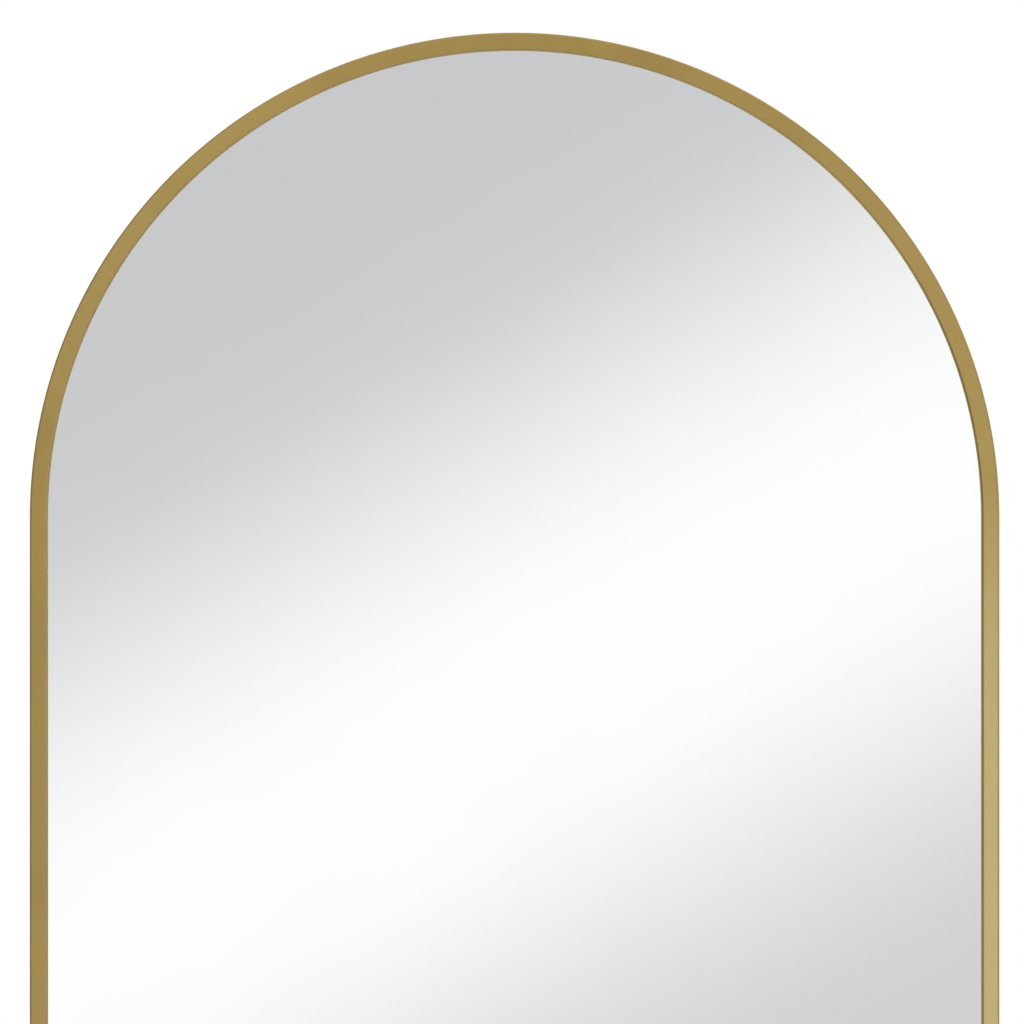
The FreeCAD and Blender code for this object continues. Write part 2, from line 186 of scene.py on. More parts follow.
# A second soft band far to the right, which the glass shows when it is seen from the left
SIDE_BAND_RISE = (0.32, 0.46)
SIDE_BAND_FALL = (0.45, 0.60)
SIDE_BAND_REACH = (0.36, 0.60)
SIDE_BAND_GAIN = 1.42

# The studio's darker left side, and its level for everything that isn't a reflection
LEFT_SHADE = 0.4
LEFT_SHADE_REACH = (-0.9, -0.3)
SOFT_LEVEL = 0.62
WHITE = (1, 1, 1, 1)

# Soft lamps that point at the middle of the mirror: place, size and watts
SOFT_LAMPS = {
    "front_key": ((1.5, -1.9, 0.7), 1.4, 18),
    "rear_key": ((-1.3, 1.9, 1.1), 1.4, 20),
    "overhead": ((0.2, -0.2, 2.3), 1.6, 14),
}

# Strip lights that only the gold shows: place, width, height, watts and colour
STRIP_LIGHTS = {
    "right_strip": ((0.508, -1.0, -0.45), 0.16, 0.86, 1.31, (0.60, 0.76, 1.0)),
    "upper_left_strip": ((-0.41, -1.0, 0.38), 0.30, 0.36, 0.155, (0.82, 0.90, 0.82)),
}

# The floor lies just under the bottom rail, so that the two don't share a plane
FLOOR_GAP = 0.2 * MM
FLOOR_RADIUS = 1.2
FLOOR_STEPS = 96
FLOOR_FADE = (0.75, 1.15)


def node(tree, kind, inputs=(), **settings):
    """A shader node with its settings, and each named input linked or set."""
    made = tree.nodes.new("ShaderNode" + kind)
    for name, value in settings.items():
        setattr(made, name, value)
    for name, value in dict(inputs).items():
        if isinstance(value, bpy.types.NodeSocket):
            tree.links.new(value, made.inputs[name])
        else:
            made.inputs[name].default_value = value
    return made


def noise(tree, vector, scale, detail=3.0, roughness=0.5, dimensions="3D"):
    """Cloudy levels round one half."""
    inputs = {"Vector": vector, "Scale": scale, "Detail": detail, "Roughness": roughness}
    return node(tree, "TexNoise", inputs, noise_dimensions=dimensions).outputs["Fac"]


def waves(tree, vector, scale, direction):
    """Even bands across one axis."""
    return node(tree, "TexWave", {"Vector": vector, "Scale": scale}, bands_direction=direction).outputs["Fac"]


def ramp(tree, level, stops, interpolation="LINEAR"):
    """Colours that follow a level. Stops are (place, colour)."""
    made = node(tree, "ValToRGB", {"Fac": level})
    band = made.color_ramp
    band.interpolation = interpolation
    band.elements.remove(band.elements[1])
    band.elements[0].position = stops[0][0]
    band.elements[0].color = (*stops[0][1], 1)
    for place, colour in stops[1:]:
        band.elements.new(place).color = (*colour, 1)
    return made.outputs["Color"]


def spread(tree, level, low, high, to_low=0.0, to_high=1.0, curve="LINEAR"):
    """A level moved from one range to another."""
    inputs = {"Value": level, "From Min": low, "From Max": high, "To Min": to_low, "To Max": to_high}
    return node(tree, "MapRange", inputs, interpolation_type=curve).outputs["Result"]


def calculate(tree, operation, first, second):
    """One step of arithmetic on two levels."""
    return node(tree, "Math", {0: first, 1: second}, operation=operation).outputs["Value"]


def blended(tree, *parts):
    """The sum of several levels. Parts are (level, weight)."""
    total = 0.0
    for level, weight in parts:
        share = calculate(tree, "MULTIPLY", level, weight)
        total = calculate(tree, "ADD", share, total)
    return total


def stretched(tree, vector, scale):
    """Coordinates scaled by a different amount on each axis."""
    return node(tree, "Mapping", {"Vector": vector, "Scale": scale}).outputs["Vector"]


def dot(tree, vector, axis):
    """How far a vector goes along an axis."""
    return node(tree, "VectorMath", {0: vector, 1: axis}, operation="DOT_PRODUCT").outputs["Value"]


def length(tree, vector):
    """How long a vector is."""
    return node(tree, "VectorMath", {0: vector}, operation="LENGTH").outputs["Value"]


def either(tree, share, first, second):
    """Two shaders or backgrounds, the second by its share."""
    return node(tree, "MixShader", {"Fac": share, 1: first, 2: second}).outputs["Shader"]


def surface(name, constants):
    """A new material. Its plain values go straight onto the shader's sockets."""
    material = bpy.data.materials.new(name)
    material.use_nodes = True
    tree = material.node_tree
    shader = tree.nodes["Principled BSDF"]
    for socket, value in constants.items():
        shader.inputs[socket].default_value = value
    place = node(tree, "TexCoord").outputs["Object"]
    return material, tree, shader, place


def finish(tree, shader, colour, roughness, height, distance, strength):
    """Links a material's colour, roughness and relief."""
    relief = node(tree, "Bump", {"Height": height, "Distance": distance, "Strength": strength})
    tree.links.new(colour, shader.inputs["Base Color"])
    tree.links.new(roughness, shader.inputs["Roughness"])
    tree.links.new(relief.outputs["Normal"], shader.inputs["Normal"])


def arch_across(tree, axes):
    """Distance from the middle of the legs and of the arch alike."""
    above = calculate(tree, "SUBTRACT", axes.outputs["Z"], SPRING)
    rise = calculate(tree, "MAXIMUM", above, 0.0)
    return length(tree, node(tree, "CombineXYZ", {"X": axes.outputs["X"], "Y": rise}).outputs["Vector"])


def bottom_across(tree, axes):
    """Height on the bottom rail."""
    return axes.outputs["Z"]


def gold_anodised(name, across):
    """Satin gold under a clear seal, with die lines that run along the rail and a faint cloudiness."""
    constants = {
        "Metallic": 1.0,
        "Specular Tint": (0.95, 0.72, 0.30, 1),
        "Coat Weight": 1.0,
        "Coat Roughness": 0.22,
        "Coat IOR": 1.5,
    }
    material, tree, shader, place = surface(name, constants)
    axes = node(tree, "SeparateXYZ", {"Vector": place})
    section = {"X": across(tree, axes), "Y": axes.outputs["Y"]}
    section_place = node(tree, "CombineXYZ", section).outputs["Vector"]
    die_lines = noise(tree, section_place, scale=1700, detail=5, roughness=0.7, dimensions="2D")
    cloud = noise(tree, place, scale=22, detail=4)
    grain = noise(tree, place, scale=5200, detail=2)
    mottled = blended(tree, (die_lines, 0.4), (cloud, 0.6))
    colour = ramp(tree, spread(tree, mottled, 0.35, 0.65), [
        (0.0, (0.388, 0.260, 0.055)),
        (0.5, (0.424, 0.286, 0.064)),
        (1.0, (0.460, 0.314, 0.074)),
    ])
    roughness = spread(tree, mottled, 0.3, 0.7, 0.36, 0.46)
    relief = blended(tree, (die_lines, 1.0), (grain, 0.4))
    finish(tree, shader, colour, roughness, relief, distance=0.03 * MM, strength=0.4)
    return material


def silvering():
    """The silvered face seen through clear glass."""
    constants = {"Metallic": 1.0, "Coat Weight": 1.0, "Coat Roughness": 0.0, "Coat IOR": 1.52}
    material, tree, shader, place = surface("silvered_face", constants)
    haze = noise(tree, place, scale=9, detail=5)
    ripple = noise(tree, place, scale=3, detail=1)
    colour = ramp(tree, haze, [(0.3, (0.930, 0.938, 0.936)), (0.7, (0.945, 0.952, 0.950))])
    roughness = spread(tree, haze, 0.35, 0.75, 0.0, 0.012)
    finish(tree, shader, colour, roughness, ripple, distance=0.02 * MM, strength=0.02)
    return material


def glass_edge():
    """The ground and polished rim of the glass, green in its depth."""
    constants = {"IOR": 1.52, "Coat Weight": 0.5, "Coat Roughness": 0.05}
    material, tree, shader, place = surface("glass_edge", constants)
    streaks = noise(tree, stretched(tree, place, (40, 900, 40)), scale=1, detail=4)
    colour = ramp(tree, streaks, [(0.3, (0.16, 0.33, 0.28)), (0.7, (0.33, 0.52, 0.46))])
    roughness = spread(tree, streaks, 0.3, 0.7, 0.08, 0.2)
    finish(tree, shader, colour, roughness, streaks, distance=0.02 * MM, strength=0.1)
    return material


def backing_paint():
    """Grey paint that guards the silver on the rear of the glass."""
    material, tree, shader, place = surface("backing_paint", {"Specular IOR Level": 0.4})
    orange_peel = noise(tree, place, scale=900, detail=3)
    cloud = noise(tree, place, scale=12, detail=4)
    colour = ramp(tree, cloud, [(0.3, (0.20, 0.21, 0.22)), (0.7, (0.26, 0.27, 0.28))])
    roughness = spread(tree, cloud, 0.3, 0.7, 0.4, 0.55)
    finish(tree, shader, colour, roughness, orange_peel, distance=0.05 * MM, strength=0.3)
    return material


def foam_seal():
    """White closed-cell strip, matt and pitted."""
    material, tree, shader, place = surface("foam_seal", {"Specular IOR Level": 0.25})
    cells = node(tree, "TexVoronoi", {"Vector": place, "Scale": 2400}).outputs["Distance"]
    cloud = noise(tree, place, scale=60)
    colour = ramp(tree, cloud, [(0.3, (0.72, 0.72, 0.70)), (0.7, (0.80, 0.80, 0.78))])
    roughness = spread(tree, cloud, 0.3, 0.7, 0.8, 0.95)
    finish(tree, shader, colour, roughness, cells, distance=0.1 * MM, strength=0.5)
    return material


def safety_film():
    """Grey-blue film with a fine woven backing."""
    material, tree, shader, place = surface("safety_film", {"Specular IOR Level": 0.4})
    warp = waves(tree, place, scale=210, direction="X")
    weft = waves(tree, place, scale=210, direction="Z")
    weave = calculate(tree, "MULTIPLY", warp, weft)
    cloud = noise(tree, place, scale=15, detail=4)
    tone = blended(tree, (weave, 0.3), (cloud, 1.0))
    colour = ramp(tree, tone, [(0.4, (0.36, 0.41, 0.46)), (0.9, (0.48, 0.53, 0.58))])
    roughness = spread(tree, weave, 0, 1, 0.45, 0.6)
    finish(tree, shader, colour, roughness, weave, distance=0.05 * MM, strength=0.4)
    return material


def corrugated_board():
    """Kraft liner with the flutes showing faintly through it."""
    material, tree, shader, place = surface("corrugated_board", {"Specular IOR Level": 0.2})
    flutes = waves(tree, place, scale=26, direction="X")
    fibres = noise(tree, stretched(tree, place, (1, 1, 0.35)), scale=1400, detail=4, roughness=0.7)
    cloud = noise(tree, place, scale=11, detail=4)
    tone = blended(tree, (fibres, 0.6), (cloud, 1.0))
    colour = ramp(tree, spread(tree, tone, 0.4, 1.2), [
        (0.0, (0.24, 0.145, 0.070)),
        (0.6, (0.36, 0.225, 0.115)),
        (1.0, (0.45, 0.300, 0.165)),
    ])
    roughness = spread(tree, fibres, 0.3, 0.7, 0.75, 0.9)
    relief = blended(tree, (flutes, 1.0), (fibres, 0.4))
    finish(tree, shader, colour, roughness, relief, distance=0.1 * MM, strength=0.4)
    return material


def strands(tree, place, degrees, scale):
    """Fine fibres that lie at one angle in a board."""
    turn = {"Vector": place, "Rotation": (0, math.radians(degrees), 0), "Scale": (1, 1, 6)}
    along = node(tree, "Mapping", turn, vector_type="TEXTURE").outputs["Vector"]
    return spread(tree, noise(tree, along, scale, detail=3, roughness=0.6), 0.42, 0.75)


def hardboard():
    """Brown pressed wood fibre: dark flecks, strands that lie every way and a faint sheen from the press."""
    material, tree, shader, place = surface("hardboard", {"Specular IOR Level": 0.35})
    flecks = noise(tree, place, scale=1100, detail=5, roughness=0.7)
    cloud = noise(tree, place, scale=6, detail=4)
    tone = blended(
        tree,
        (flecks, 0.75),
        (cloud, 0.25),
        (strands(tree, place, degrees=17, scale=1500), 0.14),
        (strands(tree, place, degrees=74, scale=1300), 0.14),
        (strands(tree, place, degrees=131, scale=1700), 0.14),
    )
    colour = ramp(tree, spread(tree, tone, 0.42, 0.95), [
        (0.0, (0.072, 0.038, 0.019)),
        (0.35, (0.138, 0.077, 0.039)),
        (0.65, (0.178, 0.104, 0.055)),
        (1.0, (0.262, 0.168, 0.096)),
    ])
    roughness = spread(tree, tone, 0.42, 0.95, 0.62, 0.48)
    finish(tree, shader, colour, roughness, tone, distance=0.05 * MM, strength=0.35)
    return material


def brushed_steel(name, dark, pale, rough, lines):
    """Rolled or plated steel: cloudy plating over fine lines, which run across the given scale."""
    material, tree, shader, place = surface(name, {"Metallic": 1.0, "Specular IOR Level": 0.5})
    brush = noise(tree, stretched(tree, place, lines), scale=1, detail=4, roughness=0.6)
    cloud = noise(tree, place, scale=160, detail=5, roughness=0.6)
    grain = noise(tree, place, scale=4000, detail=2)
    tone = blended(tree, (brush, 0.5), (cloud, 0.5))
    colour = ramp(tree, tone, [(0.35, dark), (0.65, pale)])
    roughness = spread(tree, tone, 0.3, 0.7, rough + 0.08, rough - 0.06)
    relief = blended(tree, (brush, 1.0), (grain, 0.4))
    finish(tree, shader, colour, roughness, relief, distance=0.02 * MM, strength=0.3)
    return material


def bright_zinc():
    """Pale zinc plate on the hangers' steel."""
    dark = (0.48, 0.48, 0.47)
    pale = (0.66, 0.66, 0.65)
    return brushed_steel("bright_zinc", dark, pale, rough=0.3, lines=(300, 900, 900))


def plated_key_steel():
    """Duller zinc plate on the pressed angles in the corners."""
    dark = (0.40, 0.40, 0.38)
    pale = (0.58, 0.58, 0.55)
    return brushed_steel("plated_key_steel", dark, pale, rough=0.36, lines=(700, 300, 700))


def blued_spring_steel():
    """Blue-grey steel of the bowed springs."""
    dark = (0.16, 0.17, 0.20)
    pale = (0.30, 0.31, 0.34)
    return brushed_steel("blued_spring_steel", dark, pale, rough=0.3, lines=(900, 300, 900))


def black_oxide():
    """Blackened steel of the set screws."""
    dark = (0.020, 0.020, 0.022)
    pale = (0.050, 0.050, 0.054)
    return brushed_steel("black_oxide", dark, pale, rough=0.42, lines=(900, 900, 900))


def bumper_rubber():
    """Matt black moulded rubber with a dusty bloom."""
    material, tree, shader, place = surface("bumper_rubber", {"Specular IOR Level": 0.35})
    grain = noise(tree, place, scale=3200, detail=3)
    bloom = noise(tree, place, scale=260, detail=4, roughness=0.6)
    colour = ramp(tree, bloom, [(0.3, (0.012, 0.012, 0.013)), (0.75, (0.034, 0.033, 0.032))])
    roughness = spread(tree, bloom, 0.3, 0.7, 0.62, 0.82)
    finish(tree, shader, colour, roughness, grain, distance=0.03 * MM, strength=0.35)
    return material


def placed(name, bm, materials):
    """A finished mesh as an object at the origin."""
    mesh = bpy.data.meshes.new(name)
    bm.to_mesh(mesh)
    bm.free()
    for material in materials:
        mesh.materials.append(material)
    made = bpy.data.objects.new(name, mesh)
    scene.collection.objects.link(made)
    return made


def piece(name, bm, materials, replaced, body="mirror"):
    """A piece of the mirror in its place, riding on a body and standing for a CAD node."""
    bmesh.ops.remove_doubles(bm, verts=bm.verts[:], dist=MERGE)
    bmesh.ops.recalc_face_normals(bm, faces=bm.faces[:])
    made = placed(name, bm, materials)
    made.data.shade_smooth()
    made.data.set_sharp_from_angle(angle=SMOOTH_BELOW)
    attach(made, body)
    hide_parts(replaced)
    return made


def weighted(made):
    """Flat faces keep their shading next to rounded edges."""
    modifier = made.modifiers.new("even_shading", "WEIGHTED_NORMAL")
    modifier.keep_sharp = True


def walled(made, thickness, offset):
    """Gives a thin piece its thickness."""
    modifier = made.modifiers.new("thickness", "SOLIDIFY")
    modifier.thickness = thickness
    modifier.offset = offset


def eased(made, width):
    """Softens the sharp edges of a piece."""
    modifier = made.modifiers.new("eased_edges", "BEVEL")
    modifier.width = width
    modifier.segments = EASE_STEPS
    modifier.limit_method = "ANGLE"
    modifier.angle_limit = EASE_ABOVE
    modifier.harden_normals = True


def once(items):
    """The items in their order, each of them once."""
    return list(dict.fromkeys(items))


def edges_of(geometry):
    """The edges among an operator's results."""
    return [item for item in geometry if isinstance(item, bmesh.types.BMEdge)]


def verts_of(geometry):
    """The vertices among an operator's results."""
    return [item for item in geometry if isinstance(item, bmesh.types.BMVert)]


def ends_of(edges):
    """The vertices that edges run between."""
    return once(vert for edge in edges for vert in edge.verts)


def bevelled(bm, geometry, size, steps, affect, clamp=False):
    """Rounds edges or the corners of a flat shape."""
    bmesh.ops.bevel(
        bm, geom=geometry, offset=size, offset_type="OFFSET", segments=steps, profile=0.5,
        affect=affect, clamp_overlap=clamp, material=-1)


def drawn_on(bm, edges, shift):
    """Extrudes edges along a straight run and returns the new edges."""
    grown = bmesh.ops.extrude_edge_only(bm, edges=edges)["geom"]
    bmesh.ops.translate(bm, verts=verts_of(grown), vec=shift)
    return edges_of(grown)


def bent_on(bm, edges, centre, axis, angle, steps):
    """Carries edges round a bend and returns the last edges."""
    geometry = ends_of(edges) + edges
    turn = bmesh.ops.spin(bm, geom=geometry, cent=centre, axis=axis, angle=angle, steps=steps)
    return edges_of(turn["geom_last"])


def rail_loop(place):
    """The rail's section with rounded corners, as a closed loop of edges."""
    bm = bmesh.new()
    corners = [bm.verts.new(place(across * MM, depth * MM)) for across, depth, radius in RAIL_SECTION]
    bm.faces.new(corners)
    for size in sorted({radius for across, depth, radius in RAIL_SECTION} - {0}):
        rounded = [vert for vert, corner in zip(corners, RAIL_SECTION) if corner[2] == size]
        bevelled(bm, rounded, size * MM, ROUND_STEPS, "VERTICES")
    bmesh.ops.delete(bm, geom=bm.faces[:], context="FACES_ONLY")
    return bm


def mitre_ends(bm):
    """Closes the sawn ends and eases their edges, so that the mitre shows as a fine line."""
    open_edges = [edge for edge in bm.edges if edge.is_boundary]
    ends = bmesh.ops.holes_fill(bm, edges=open_edges, sides=0)["faces"]
    rims = once(edge for face in ends for edge in face.edges)
    bevelled(bm, rims, MITRE_EASE, 1, "EDGES", clamp=True)


def arch_rail(gold):
    """The two legs and the half-round top."""
    bm = rail_loop(lambda across, depth: (HALF_WIDTH - across, FRONT + depth, SPRING))
    right = bm.edges[:]
    left = bent_on(bm, right, (0, 0, SPRING), (0, -1, 0), math.pi, ARCH_STEPS)
    for top in (right, left):
        foot = drawn_on(bm, top, (0, 0, 0))
        for vert in ends_of(foot):
            vert.co.z = BOTTOM + HALF_WIDTH - abs(vert.co.x)
    mitre_ends(bm)
    made = piece("gold_arch", bm, [gold], "arch_rail")
    weighted(made)
    return made


def bottom_rail(gold):
    """The straight length along the bottom."""
    bm = rail_loop(lambda across, depth: (across - HALF_WIDTH, FRONT + depth, BOTTOM + across))
    far = drawn_on(bm, bm.edges[:], (0, 0, 0))
    for vert in ends_of(far):
        vert.co.x = -vert.co.x
    mitre_ends(bm)
    made = piece("gold_bottom", bm, [gold], "bottom_rail")
    weighted(made)
    return made


def arched_sheet(cad_node):
    """The front face of an arched sheet, as far as its CAD node goes."""
    low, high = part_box(cad_node)
    bm = bmesh.new()
    place = Matrix.Translation((0, low.y, SPRING)) @ UPRIGHT
    bmesh.ops.create_circle(bm, cap_ends=True, segments=2 * ARCH_STEPS, radius=high.x, matrix=place)
    everything = bm.verts[:] + bm.edges[:] + bm.faces[:]
    bmesh.ops.bisect_plane(
        bm, geom=everything, dist=MERGE, plane_co=(0, 0, SPRING), plane_no=(0, 0, -1), clear_outer=True)
    sill = [edge for edge in bm.edges if all(abs(vert.co.z - SPRING) < LEVEL for vert in edge.verts)]
    drawn_on(bm, sill, (0, 0, low.z - SPRING))
    bmesh.ops.dissolve_edges(bm, edges=sill)
    return bm


def runs_along_wall(edge):
    """True for an edge that runs parallel to the wall."""
    first, second = edge.verts
    return abs(first.co.y - second.co.y) < LEVEL


def thickened(bm, thickness, ease):
    """Gives a sheet its thickness towards the wall and eases both its rims."""
    grown = bmesh.ops.extrude_face_region(bm, geom=bm.faces[:], use_keep_orig=True)["geom"]
    bmesh.ops.translate(bm, verts=verts_of(grown), vec=(0, thickness, 0))
    bmesh.ops.recalc_face_normals(bm, faces=bm.faces[:])
    sharp = [edge for edge in bm.edges if edge.calc_face_angle(0) > RIM_ABOVE]
    rims = [edge for edge in sharp if runs_along_wall(edge)]
    bevelled(bm, rims, ease, RIM_STEPS, "EDGES")


def mirror_glass(silver, rim, paint):
    """The silvered glass: its face, its polished rim and its painted back."""
    low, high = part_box("mirror_glass")
    finishes = [silver, rim, paint]
    bm = arched_sheet("mirror_glass")
    thickened(bm, high.y - low.y, GLASS_ARRIS)
    for face in bm.faces:
        if face.normal.y > FLAT_FROM:
            face.material_index = finishes.index(paint)
        elif face.normal.y > -FLAT_FROM:
            face.material_index = finishes.index(rim)
    weighted(piece("silvered_glass", bm, finishes, "mirror_glass"))


def back_board(board):
    """The hardboard back with its edges eased."""
    low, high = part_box("back_board")
    bm = arched_sheet("back_board")
    thickened(bm, high.y - low.y, BOARD_EASE)
    weighted(piece("hardboard_back", bm, [board], "back_board"))


def bowed_strip():
    """A thin strip with rounded corners, bowed along X with its middle at the origin."""
    half = CLIP_LENGTH / 2
    radius = (half * half + CLIP_RISE * CLIP_RISE) / (2 * CLIP_RISE)
    lean = math.asin(half / radius)
    bm = bmesh.new()
    bmesh.ops.create_grid(bm, x_segments=CLIP_STEPS, y_segments=1, size=0.5)
    bmesh.ops.scale(bm, verts=bm.verts[:], vec=(CLIP_LENGTH, CLIP_WIDTH, 1))
    corners = [vert for vert in bm.verts if len(vert.link_edges) == 2]
    bevelled(bm, corners, CLIP_CORNER, CLIP_CORNER_STEPS, "VERTICES")
    bmesh.ops.transform(bm, matrix=UPRIGHT, verts=bm.verts[:])
    for vert in bm.verts:
        swing = lean * vert.co.x / half
        vert.co.x = radius * math.sin(swing)
        vert.co.y = radius * (1 - math.cos(swing))
    return bm


def spring_clip(cad_node, turn, steel):
    """A bowed strip, its middle on the board and its ends on the rail."""
    low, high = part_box(cad_node)
    centre = (low + high) / 2
    seat = Vector((centre.x, low.y, centre.z))
    place = Matrix.Translation(seat) @ Matrix.Rotation(math.radians(turn), 4, "Y")
    bm = bowed_strip()
    bmesh.ops.transform(bm, matrix=place, verts=bm.verts[:])
    made = piece(cad_node.replace("spring_clip", "bowed_clip"), bm, [steel], cad_node)
    towards_wall = -1 if made.data.polygons[0].normal.y < 0 else 1
    walled(made, CLIP_THICKNESS, towards_wall)
    eased(made, CLIP_EASE)


def spring_clips(steel):
    """Every bowed strip round the frame."""
    for cad_node in frame["nodes"]:
        if cad_node.startswith("spring_clip_"):
            place = cad_node.removeprefix("spring_clip_")
            turn = CLIP_TURNS.get(place, CLIP_TURNS.get(place.split("_")[0]))
            spring_clip(cad_node, turn, steel)


def ring_pivot(side):
    """The middle of a ring's bar."""
    joint = next(joint for joint in frame["joints"] if joint["name"] == f"ring_{side}_swing")
    return Vector(joint["pos_m"])


def d_ring(side, zinc):
    """A round wire bent to a D, hanging from its bar."""
    bm = bmesh.new()
    start = Matrix.Translation((-RING_SIDE, 0, 0)) @ Matrix.Rotation(math.pi / 2, 4, "Y")
    bmesh.ops.create_circle(bm, cap_ends=False, segments=WIRE_SIDES, radius=WIRE_RADIUS, matrix=start)
    axis = (0, 1, 0)
    end = drawn_on(bm, bm.edges[:], (2 * RING_SIDE, 0, 0))
    end = bent_on(bm, end, (RING_SIDE, 0, -RING_BEND), axis, math.pi / 2, RING_BEND_STEPS)
    end = drawn_on(bm, end, (0, 0, RING_BEND - RING_LEG))
    end = bent_on(bm, end, (0, 0, -RING_LEG), axis, math.pi, RING_ROUND_STEPS)
    end = drawn_on(bm, end, (0, 0, RING_LEG - RING_BEND))
    bent_on(bm, end, (-RING_SIDE, 0, -RING_BEND), axis, math.pi / 2, RING_BEND_STEPS)
    hang = Matrix.Translation(ring_pivot(side)) @ Matrix.Rotation(RING_TILT, 4, "X")
    bmesh.ops.transform(bm, matrix=hang, verts=bm.verts[:])
    piece(f"ring_wire_{side}", bm, [zinc], f"d_ring_{side}", body=f"ring_{side}")


def punched(bm, face, centre, radius):
    """Cuts a round hole in a flat face that is parallel to the wall."""
    place = Matrix.Translation(centre) @ UPRIGHT
    circle = bmesh.ops.create_circle(bm, cap_ends=False, segments=TURN_STEPS, radius=radius, matrix=place)
    rims = face.edges[:] + once(edge for vert in circle["verts"] for edge in vert.link_edges)
    bmesh.ops.delete(bm, geom=[face], context="FACES_ONLY")
    bmesh.ops.triangle_fill(bm, edges=rims, use_beauty=True)


def strap_fold(pivot, half, foot_height):
    """The middle of a strap: up the rail, round the ring's bar and down again over itself."""
    under = RIM + STRAP_THICKNESS / 2
    over = under + STRAP_THICKNESS + STRAP_FOLD_GAP
    pinch_sine = math.sin(STRAP_PINCH)
    pinch_cosine = math.cos(STRAP_PINCH)
    drop = 2 * LOOP_MIDDLE - (over - under)
    slope = (drop - 2 * LOOP_MIDDLE * (1 - pinch_cosine)) / pinch_sine
    bm = bmesh.new()
    foot = [bm.verts.new((pivot.x + way * half, under, foot_height)) for way in SIDES.values()]
    tail = [bm.edges.new(foot)]
    tail = drawn_on(bm, tail, (0, 0, pivot.z - foot_height))
    tail = bent_on(bm, tail, pivot, (-1, 0, 0), math.pi + STRAP_PINCH, LOOP_STEPS)
    tail = drawn_on(bm, tail, (0, -slope * pinch_sine, -slope * pinch_cosine))
    heel = (0, over + LOOP_MIDDLE, tail[0].verts[0].co.z - LOOP_MIDDLE * pinch_sine)
    tail = bent_on(bm, tail, heel, (1, 0, 0), STRAP_PINCH, HEEL_STEPS)
    drawn_on(bm, tail, (0, 0, foot_height - tail[0].verts[0].co.z))
    return bm


def hanger_strap(side, zinc):
    """A folded strap with rounded corners and a screw hole through both its layers."""
    low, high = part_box(f"hanger_strap_{side}")
    screw_low, screw_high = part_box("hanger_screws")
    screw_height = (screw_low.z + screw_high.z) / 2
    pivot = ring_pivot(side)
    bm = strap_fold(pivot, (high.x - low.x) / 2, low.z)
    corners = [vert for vert in bm.verts if len(vert.link_edges) == 2]
    bevelled(bm, corners, STRAP_CORNER, STRAP_CORNER_STEPS, "VERTICES")
    for flat in [face for face in bm.faces if min(vert.co.z for vert in face.verts) < screw_height]:
        punched(bm, flat, (pivot.x, flat.verts[0].co.y, screw_height), STRAP_HOLE)
    made = piece(f"folded_strap_{side}", bm, [zinc], f"hanger_strap_{side}")
    walled(made, STRAP_THICKNESS, 0)
    eased(made, STRAP_EASE)


def widest(outline):
    """The largest radius of a half section, in metres."""
    return max(radius for radius, height in outline) * MM


def lathe(bm, outline, seat):
    """Turns a half section about a line towards the wall through seat."""
    corners = [bm.verts.new(seat + Vector((radius * MM, height * MM, 0))) for radius, height in outline]
    edges = [bm.edges.new(pair) for pair in zip(corners, corners[1:])]
    bmesh.ops.spin(
        bm, geom=corners + edges, cent=seat, axis=(0, 1, 0), angle=2 * math.pi,
        steps=TURN_STEPS, use_merge=True)


def crown_faces(bm, seat, top):
    """The faces round the middle of a screw head's crown."""
    found = []
    for face in bm.faces:
        middle = face.calc_center_median()
        if middle.y > top - CROWN_DEPTH and (middle - seat).xz.length < 2 * RECESS_REACH:
            found.append(face)
    return found


def in_cross(offset):
    """True for a place within the two slots of a cross."""
    near, far = sorted((abs(offset.x), abs(offset.z)))
    return near < RECESS_HALF and far < RECESS_REACH


def cross_recess(bm, seat, top):
    """Sinks a cross into the crown of a screw head whose middle is at seat."""
    for axis in (Vector((1, 0, 0)), Vector((0, 0, 1))):
        for reach in (-RECESS_REACH, -RECESS_HALF, RECESS_HALF, RECESS_REACH):
            crown = crown_faces(bm, seat, top)
            edges = once(edge for face in crown for edge in face.edges)
            geometry = crown + edges + ends_of(edges)
            bmesh.ops.bisect_plane(bm, geom=geometry, plane_co=seat + axis * reach, plane_no=axis)
    sunk = [face for face in crown_faces(bm, seat, top) if in_cross(face.calc_center_median() - seat)]
    grown = bmesh.ops.extrude_face_region(bm, geom=sunk)["geom"]
    bmesh.ops.delete(bm, geom=[face for face in sunk if face.is_valid], context="FACES_ONLY")
    floor = verts_of(grown)
    bmesh.ops.translate(bm, verts=floor, vec=(0, -RECESS_DEPTH, 0))
    for vert in floor:
        vert.co.x = seat.x + (vert.co.x - seat.x) * RECESS_FLOOR
        vert.co.z = seat.z + (vert.co.z - seat.z) * RECESS_FLOOR


def hanger_screws(zinc):
    """The pan-head screws of the two hangers, with cross recesses."""
    low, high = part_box("hanger_screws")
    head_height = PAN_HEAD[0][1] * MM
    tip = (low.y - high.y + head_height) / MM
    shank = [(SHANK_RADIUS, tip + SHANK_POINT), (SHANK_RADIUS - SHANK_POINT, tip), (0, tip)]
    bm = bmesh.new()
    for sign in SIDES.values():
        across = sign * (high.x - widest(PAN_HEAD))
        seat = Vector((across, high.y - head_height, (low.z + high.z) / 2))
        lathe(bm, PAN_HEAD + shank, seat)
        bmesh.ops.remove_doubles(bm, verts=bm.verts[:], dist=MERGE)
        cross_recess(bm, seat, high.y)
    weighted(piece("strap_screws", bm, [zinc], "hanger_screws"))


